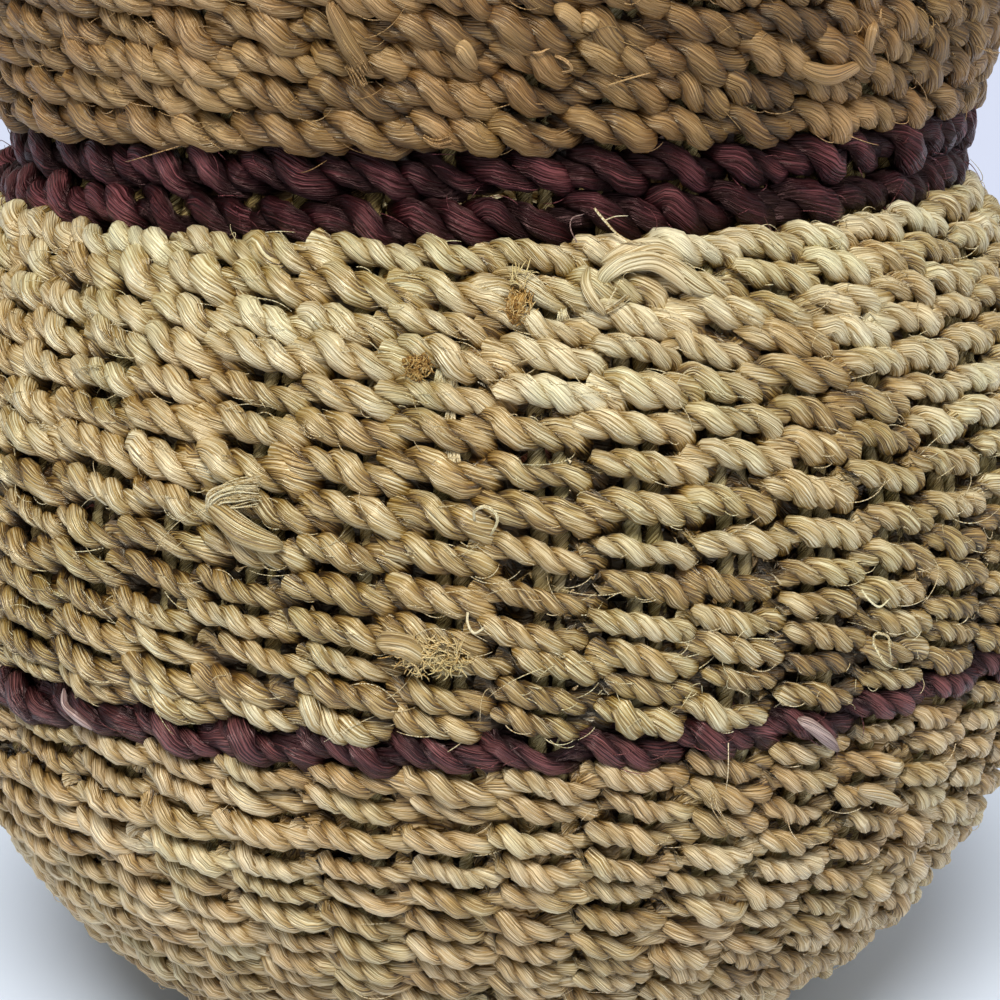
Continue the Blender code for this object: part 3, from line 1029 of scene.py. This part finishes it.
def band_hairs(band, count, lengths):
    """Fibres that leave the outer sides of a band's cords at random places."""
    rows = band_rows[band.name]
    crossing = rng.integers(row_start[rows.start] + 2, row_start[rows.stop] - 3, count)
    shift = rng.uniform(-HAIR_SHIFT, HAIR_SHIFT, count)
    grids = []
    for own in (0, 1):
        chosen = np.flatnonzero(crossing % 2 == own)
        total = len(chosen)
        place = crossing[chosen] + shift[chosen]
        centre, out, up, thick = cord_line(place, own, band.width)
        ahead = unit(cord_line(place + HAIR_AHEAD, own, band.width)[0] - centre)
        lean = rng.uniform(-HAIR_LEAN, HAIR_LEAN, total)[:, None]
        away = sides_of(ahead, unit(out * np.cos(lean) + up * np.sin(lean)))[0]
        base = centre + away * (thick / 2 * HAIR_ROOT_SHARE)[:, None]
        back = np.where(rng.random(total) < 0.5, -1.0, 1.0)[:, None]
        length = rng.uniform(*lengths, total)
        tilt = rng.uniform(*HAIR_TILTS, total)
        grids += hairs(base, ahead * back, away, length, tilt, tilt * rng.uniform(*HAIR_BENDS, total),
                       rng.uniform(-HAIR_HEADING, HAIR_HEADING, total),
                       rng.uniform(-HAIR_SWING, HAIR_SWING, total))
    return grids


for band in BANDS:
    if band.name in HAIR_COUNTS:
        count = HAIR_COUNTS[band.name]
        grids = band_hairs(band, count, SHORT_HAIRS)
        grids += band_hairs(band, count // SHORT_PER_LONG, LONG_HAIRS)
        add_piece(band.node + "_fibres", grids, band.material, (band.node + "_outer",))

# %% [markdown]
# ## Cord ends and strays of the photograph
# A new cord is laid in where the old one runs out, and its cut end stays outside as a short brush. The
# photograph shows several such ends, some fibres that stand well off the wall, and pale stitches in the
# lower stripe. Each is placed by the pixels it covers: a pixel and a height above the middle of the wall
# together name one place in space, found by trying the whole front of the wall.

# %% From a pixel to a place above the wall
SEEN_STEP = 0.5 * MM
SEEN_ANGLES = 700
HIDDEN_MISS = 1e9

looks = np.array(camera.rotation_euler.to_matrix())
eye = np.array(camera.location)
tried_length, tried_angle = np.meshgrid(np.arange(wall.foot_end, wall.end, SEEN_STEP),
                                        np.linspace(-math.pi, 0.0, SEEN_ANGLES))
tried_point, tried_out, tried_up = wall.frame(tried_length.reshape(-1), tried_angle.reshape(-1))
hidden = (tried_out * (eye - tried_point)).sum(-1) < 0


def seen(marks, lifts):
    """Places whose pixels are the marks and whose heights above the wall's middle are lifts, in mm, with the
    wall's outward and upward directions there."""
    found = []
    for (x, y), lift in zip(marks, lifts):
        local = (tried_point + tried_out * lift * MM - eye) @ looks
        miss_x = PHOTO_WIDTH / 2 - FOCAL_PIXELS * local[:, 0] / local[:, 2] - x
        miss_y = PHOTO_WIDTH / 2 + FOCAL_PIXELS * local[:, 1] / local[:, 2] - y
        found.append(np.argmin(miss_x ** 2 + miss_y ** 2 + hidden * HIDDEN_MISS))
    lift = np.array(lifts)[:, None] * MM
    return tried_point[found] + tried_out[found] * lift, tried_out[found], tried_up[found]


print("places tried:", len(tried_point), "turned away from the camera:", int(hidden.sum()))

# %% [markdown]
# ## Three shapes for them
# A lobe is one ply of a cord along a path: an ellipse whose size is given at each mark. A strand is a
# handful of single fibres along such a path. A brush is a patch of short curly fibres. Lobes and strands
# follow a smooth curve through their marks.

# %% Lobes
LOBE_STEPS = 28
LOBE_SIDES = 14
LOBE_STRETCH = 0.12
LOBE_DEEP_SHARE = 0.75
LOBE_END_SHARE = 0.15
LOBE_END_RISE = 2.0


def smooth_path(points, steps):
    """A Catmull-Rom curve, which passes through all its points, as rows of numbers."""
    share = np.linspace(0.0, len(points) - 1.0, steps)
    low = np.clip(share.astype(int), 0, len(points) - 2)
    s = (share - low)[:, None]
    padded = np.concatenate([2 * points[:1] - points[1:2], points, 2 * points[-1:] - points[-2:-1]])
    before, here, there, after = (padded[low + step] for step in range(4))
    return (here + (there - before) * s / 2 + (2 * before - 5 * here + 4 * there - after) * s ** 2 / 2
            + (3 * here - before - 3 * there + after) * s ** 3 / 2)


def lobe(marks, lifts, widths, tone):
    """One ply of a cord, as an ellipse along the marks. lifts and widths are in mm, one for each mark."""
    place, out, up = seen(marks, lifts)
    spine = smooth_path(place, LOBE_STEPS)
    across, above = sides_of(unit(np.gradient(spine, axis=0)), smooth_path(out, LOBE_STEPS))
    share = np.linspace(0.0, len(marks) - 1.0, LOBE_STEPS)
    ends = np.minimum(1.0, np.minimum(share, share[::-1]) * LOBE_END_RISE + LOBE_END_SHARE) ** 0.5
    half = (np.interp(share, np.arange(len(marks)), widths) * ends * MM / 2)[:, None, None]
    ring = TURN * np.arange(LOBE_SIDES + 1) / LOBE_SIDES
    deep = LOBE_DEEP_SHARE * half * np.cos(ring[:-1])[:, None] * across[:, None]
    wide = half * np.sin(ring[:-1])[:, None] * above[:, None]
    along = walked(spine) / MM * LOBE_STRETCH + rng.uniform(0.0, UV_LENGTH)
    return [(spine[:, None] + deep + wide, along, ring * max(widths) / 2, np.full(LOBE_STEPS, tone))]


# %% Strands and brushes
PATH_STEPS = 16
FIBRE_WIDTH = 0.2 * MM
FIBRE_SIDES = 4
FIBRE_TAPER = 0.5
ASIDE_ERROR = 0.16
ABOVE_RANGE = 0.3
ABOVE_ERROR = 0.1
ROUNDING = 0.4
TONE_RANGE = 0.3
BRUSH_ROUNDING = 0.8
BRUSH_TILTS = (0.1, 1.1)
BRUSH_BENDS = (0.5, 2.6)
BRUSH_SWING = 2.0
BRUSH_SPREAD = 0.5


def fibre_tube(spine, facing, width, tone):
    """A fibre that thins to its end."""
    across, above = sides_of(unit(np.gradient(spine, axis=0)), facing)
    taper = (width / 2 * (1.0 - FIBRE_TAPER * np.linspace(0.0, 1.0, len(spine)) ** 3))[:, None, None]
    ring = TURN * np.arange(FIBRE_SIDES + 1) / FIBRE_SIDES
    first = np.cos(ring[:-1])[:, None] * across[:, None]
    second = np.sin(ring[:-1])[:, None] * above[:, None]
    along = walked(spine) / MM + rng.uniform(0.0, UV_LENGTH)
    return (spine[:, None] + taper * (first + second), along, ring * width * FIBRE_UV_SHARE / MM,
            np.full(len(spine), tone))


def strand(marks, lifts, spreads, count, tone=0.9, width=FIBRE_WIDTH):
    """Single fibres along the marks, which stray to each side by spreads, in mm: one, or one for each
    mark. In section they lie on a rounded heap."""
    place, out, up = seen(marks, lifts)
    beside = unit(np.cross(out, unit(np.gradient(place, axis=0))))
    spread = np.broadcast_to(spreads, len(marks))[:, None] * MM
    facing = np.broadcast_to(unit(out.mean(0)), (PATH_STEPS, 3))
    grids = []
    for fibre in range(count):
        aside = rng.uniform(-1.0, 1.0) + rng.normal(0.0, ASIDE_ERROR, (len(marks), 1))
        above = rng.uniform(-ABOVE_RANGE, ABOVE_RANGE) + rng.normal(0.0, ABOVE_ERROR, (len(marks), 1))
        above = above - ROUNDING * aside ** 2
        spine = smooth_path(place + spread * (beside * aside + out * above), PATH_STEPS)
        grids.append(fibre_tube(spine, facing, width, tone + rng.uniform(-TONE_RANGE, TONE_RANGE)))
    return grids


def brush(mark, lift, across, high, count, lengths, tone, heading=None):
    """Short curly fibres on an oval patch round a pixel. They point every way, or lean to a heading in
    degrees, counted from the right towards up. Lengths and the patch's half sizes are in mm."""
    place, out, up = (np.repeat(rows, count, 0) for rows in seen([mark], [lift]))
    ahead = np.cross(up, out)
    turn = rng.uniform(0.0, TURN, count)
    reach = np.sqrt(rng.random(count))
    aside = (across * reach * np.cos(turn))[:, None]
    above = (high * reach * np.sin(turn))[:, None]
    base = place + (ahead * aside + up * above - out * BRUSH_ROUNDING * reach[:, None] ** 2) * MM
    way = rng.uniform(0.0, TURN, count)
    if heading is not None:
        way = math.radians(heading) + rng.normal(0.0, BRUSH_SPREAD, count)
    grids = hairs(base, ahead, out, rng.uniform(*lengths, count) * MM, rng.uniform(*BRUSH_TILTS, count),
                  rng.uniform(*BRUSH_BENDS, count), way, rng.uniform(-BRUSH_SWING, BRUSH_SWING, count),
                  FIBRE_WIDTH)
    tones = tone + rng.uniform(-TONE_RANGE, TONE_RANGE, count)
    return [(rings, along, ring, np.full(len(rings), own))
            for (rings, along, ring, usual), own in zip(grids, tones)]


# %% [markdown]
# ## Brown cut ends on the belly
# Cut sisal browns, so these ends have a browner yarn. The photograph shows three: a wide tuft low on the
# belly, a round knob under the neck, and a flared end beside it. The names say what each place shows, in
# pixels of the photograph.

# %% Brown cut ends on the belly
TUFT_PIXEL = (432, 660)
TUFT_LEFT_PIXEL = (405, 648)
KNOB_PIXEL = (417, 364)
KNOB_CORD = ((402, 362), (416, 364), (430, 362))
FLARE_PIXEL = (518, 306)
FLARE_CORD = ((512, 322), (516, 306), (524, 292))
FLARE_TOP_PIXEL = (518, 276)

brown = sisal("brown_sisal", ((92, 52, 4), (158, 108, 34), (206, 162, 84), (252, 230, 172)),
              0.5, 1.5, (1.0, 0.9, 0.7))
grids = brush(TUFT_PIXEL, 4.6, 4.1, 2.1, 190, (0.9, 2.0), 0.95)
grids += brush(TUFT_LEFT_PIXEL, 4.6, 1.6, 1.6, 30, (1.0, 2.2), 0.8, 200.0)
grids += lobe(KNOB_CORD, (2.8, 3.2, 3.0), (1.4, 1.8, 1.4), 0.2)
grids += brush(KNOB_PIXEL, 4.6, 1.6, 1.4, 170, (0.4, 1.1), 0.5)
grids += lobe(FLARE_CORD, (3.0, 3.4, 3.2), (1.8, 2.2, 1.4), 0.3)
grids += brush(FLARE_PIXEL, 4.4, 1.6, 2.2, 90, (0.6, 1.6), 0.5, 80.0)
grids += brush(FLARE_TOP_PIXEL, 4.8, 1.0, 1.2, 18, (1.2, 3.0), 1.1, 90.0)
add_piece("brown_cord_ends", grids, brown, ("belly_weft_outer",))

# %% [markdown]
# ## Pale ends and strays on the belly
# A frayed cord end lies open at the left, a cord floats in an arch under the neck at the right, and single
# fibres stand off in loops. A few warps lie bare where rows part.

# %% Pale ends and stray fibres on the belly
TUFT_CORD = ((376, 641), (392, 641), (408, 648), (424, 660))
LOOP = ((473, 520), (476, 512), (485, 508), (493, 512), (496, 522), (490, 535))
FRAYED_FAN = ((210, 514), (213, 499), (232, 491), (258, 486))
FRAYED_FAN_LOW = ((214, 516), (219, 504), (238, 500), (256, 498))
FRAYED_BODY = ((209, 502), (222, 514), (240, 530), (262, 540), (284, 545))
SMILE = ((862, 590), (869, 601), (879, 605), (891, 599))
DIAMOND_RIGHT = ((874, 644), (876, 636), (888, 635), (891, 650), (893, 665))
DIAMOND_LEFT = ((873, 642), (876, 652), (884, 661), (892, 666))
ARCH = ((598, 288), (606, 272), (626, 261), (652, 263), (674, 277), (693, 296))
ARCH_TOP = ((600, 262), (625, 250), (655, 247), (684, 258))
ARCH_SECOND = ((652, 258), (676, 268), (700, 286), (712, 294))
ARCH_LEG = ((588, 268), (587, 284), (592, 300), (604, 314))
ARCH_FIBRE = ((607, 303), (614, 294), (621, 281))
ARCH_FIBRES = ((606, 308), (616, 302), (630, 296))
NECK_FIBRE = ((595, 209), (605, 221), (617, 235), (634, 241), (652, 243))
NECK_BRANCH = ((604, 221), (616, 218), (629, 217))
SMALL_HOOK = ((467, 612), (466, 624), (473, 631), (484, 627))
PALE_WARPS = (((441, 366), (441, 376), (441, 389)), ((450, 366), (451, 377), (453, 388)),
              ((451, 409), (451, 418), (452, 426)), ((447, 452), (447, 462), (445, 471)),
              ((455, 452), (456, 462), (459, 471)), ((562, 302), (562, 311), (562, 321)))

grids = lobe(TUFT_CORD, (3.8, 4.2, 4.2, 3.8), (2.2, 2.6, 2.8, 2.4), 0.6)
grids += strand(LOOP, (4.0, 5.0, 5.6, 5.6, 5.2, 4.2), 0.12, 4, 1.0)
grids += lobe(FRAYED_BODY, (4.2, 5.0, 5.2, 4.8, 4.2), (1.6, 2.8, 3.1, 2.6, 1.8), 0.66)
grids += strand(FRAYED_FAN, (4.6, 5.6, 5.6, 5.2), (0.5, 0.9, 1.0, 1.3), 30)
grids += strand(FRAYED_FAN_LOW, (4.6, 5.6, 5.4, 5.0), (0.4, 0.8, 0.8, 1.0), 16, 0.8)
grids += strand(SMILE, (4.0, 4.8, 5.0, 4.4), 0.12, 2, 1.3)
grids += strand(DIAMOND_RIGHT, (4.2, 4.8, 5.0, 5.0, 4.4), 0.15, 3)
grids += strand(DIAMOND_LEFT, (4.4, 4.8, 5.0, 4.4), 0.15, 3)
grids += lobe(ARCH, (3.2, 4.2, 4.6, 4.8, 4.5, 3.5), (1.4, 1.9, 2.2, 2.3, 2.1, 1.2), 0.85)
grids += lobe(ARCH_TOP, (3.6, 4.2, 4.3, 3.7), (1.2, 1.9, 2.0, 1.2), 0.75)
grids += lobe(ARCH_SECOND, (3.6, 4.3, 4.3, 3.4), (1.4, 2.0, 1.9, 1.1), 0.7)
grids += lobe(ARCH_LEG, (3.8, 4.4, 4.4, 3.8), (0.8, 1.3, 1.4, 0.9), 0.7)
grids += strand(ARCH_FIBRE, (4.6, 5.0, 5.2), 0.1, 2, 0.9, HAIR_WIDTH)
grids += strand(ARCH_FIBRES, (4.2, 4.6, 4.6), 0.4, 8, 0.6, HAIR_WIDTH)
grids += strand(NECK_FIBRE, (4.4, 5.2, 5.4, 5.2, 5.0), (0.12, 0.12, 0.12, 0.2, 0.25), 4, 0.7, HAIR_WIDTH)
grids += strand(NECK_BRANCH, (5.0, 5.4, 5.4), (0.08, 0.1, 0.16), 2, 0.8, HAIR_WIDTH)
grids += strand(SMALL_HOOK, (4.4, 5.2, 5.4, 5.0), 0.1, 2, 1.1)
for warp in PALE_WARPS:
    grids += strand(warp, (2.0, 2.6, 2.2), (0.4, 0.5, 0.8), 16, 1.0)
add_piece("belly_cord_ends", grids, straw, ("belly_weft_outer",))

# %% [markdown]
# ## Ends, floats and bright plies of the collar
# The collar has a long frayed end at the left of the middle, a cord that floats over its neighbours at the
# right, and a few plies painted in the collar's own yarn in its lightest tone: painted highlights where
# plies catch the light.

# %% Ends and plies of the collar
COLLAR_STRAND = ((330, 1), (337, 20), (350, 46), (367, 74))
COLLAR_STRAND_END = ((348, 66), (357, 75), (363, 86))
COLLAR_TUFT = ((424, 138), (436, 142), (452, 140))
COLLAR_FLOAT = ((796, 62), (812, 72), (834, 76), (866, 64))
COLLAR_STRAYS = (((530, 53), (540, 51), (550, 50)), ((609, 86), (630, 80), (650, 75)),
                 ((556, 55), (568, 60), (572, 69), (560, 73)), ((884, 24), (880, 16), (882, 9)))
COLLAR_PAINTED_HIGHLIGHTS = (((553, 6), (563, 13), (573, 22), (584, 33)), ((580, 15), (588, 20), (596, 28)),
                 ((451, 42), (461, 49), (468, 58), (476, 70)))
COLLAR_LEAF = ((875, 18), (872, 32), (869, 45), (867, 57))
STRAY_LIFTS = (4.4, 5.0, 4.8, 4.4)
HIGHLIGHT_LIFTS = (3.4, 4.5, 4.5, 3.4)
HIGHLIGHT_WIDTHS = (0.9, 2.0, 2.0, 1.0)

grids = lobe(COLLAR_STRAND, (4.2, 4.8, 5.0, 4.4), (1.4, 2.2, 2.3, 1.4), 0.6)
grids += strand(COLLAR_STRAND, (4.6, 5.3, 5.5, 5.0), (0.5, 0.9, 0.9, 0.7), 12, 0.7)
grids += strand(COLLAR_STRAND_END, (4.6, 5.0, 5.0), (0.6, 0.8, 1.1), 10, 0.7)
grids += strand(COLLAR_TUFT, (4.2, 4.8, 5.0), (0.4, 0.6, 1.0), 14, 0.7)
grids += lobe(COLLAR_FLOAT, (4.2, 4.8, 5.0, 4.4), (1.2, 2.2, 2.4, 1.3), 0.75)
for stray in COLLAR_STRAYS:
    grids += strand(stray, STRAY_LIFTS[:len(stray)], 0.15, 3, 1.1)
add_piece("collar_cord_ends", grids, tan, ("collar_weft_outer",))

grids = lobe(COLLAR_LEAF, (4.2, 5.0, 5.0, 4.2), (0.8, 1.5, 1.4, 0.7), 0.85)
# painted highlight: these plies are painted in the yarn's lightest tone where light catches them
for painted_highlight in COLLAR_PAINTED_HIGHLIGHTS:
    grids += lobe(painted_highlight, HIGHLIGHT_LIFTS[:len(painted_highlight)], HIGHLIGHT_WIDTHS[:len(painted_highlight)], 1.0)
add_piece("collar_leaf_and_painted_highlights", grids, tan, ("collar_weft_outer",))

# %% [markdown]
# ## Strays of the lower rows and worn stitches
# Two fibres and a pale ply hang at the lower right. In the two dark stripes some stitches are pale, and
# one dark fibre loops out of the neck, so these have a paler maroon yarn.

# %% Strays of the lower rows and worn stitches
LOWER_FIBRE = ((728, 742), (729, 770), (727, 792))
LOWER_FIBRES = ((712, 788), (716, 805), (723, 821), (732, 835))
LOWER_PALE_PLY = ((858, 788), (871, 791), (886, 797), (902, 807))
LEFT_STITCH = ((63, 688), (66, 704), (75, 718), (93, 730))
RIGHT_STITCH = ((797, 720), (810, 725), (825, 736), (838, 750))
DARK_LOOP = ((577, 240), (571, 229), (574, 219), (584, 216))

grids = strand(LOWER_FIBRE, (4.4, 5.0, 4.4), 0.1, 1, 0.7, HAIR_WIDTH)
grids += strand(LOWER_FIBRES, (4.0, 4.8, 4.8, 4.0), (0.2, 0.4, 0.3, 0.2), 4, 0.8, HAIR_WIDTH)
grids += lobe(LOWER_PALE_PLY, (3.8, 4.2, 4.2, 3.8), (1.2, 1.8, 1.8, 1.2), 0.7)
add_piece("lower_cord_ends", grids, natural, ("lower_weft_outer",))

mauve = sisal("pale_maroon_sisal", ((74, 44, 44), (124, 92, 88), (176, 148, 140), (236, 216, 204)),
              0.36, 1.6, (1.0, 0.9, 0.9))
grids = lobe(LEFT_STITCH, (4.4, 5.2, 5.4, 4.8), (0.7, 1.0, 1.1, 0.8), 0.4)
grids += lobe(RIGHT_STITCH, (4.0, 4.8, 4.8, 4.0), (0.9, 1.5, 1.6, 1.0), 0.5)
add_piece("lower_stripe_pale_stitches", grids, mauve, ("lower_stripe_outer",))
grids = strand(DARK_LOOP, (4.8, 5.4, 5.2, 4.4), (0.1, 0.15, 0.15, 0.1), 2, 0.2, HAIR_WIDTH)
add_piece("neck_stripe_cord_ends", grids, mauve, ("neck_stripe_outer",))
print("in all: tubes", tally["tubes"], "triangles", tally["triangles"])
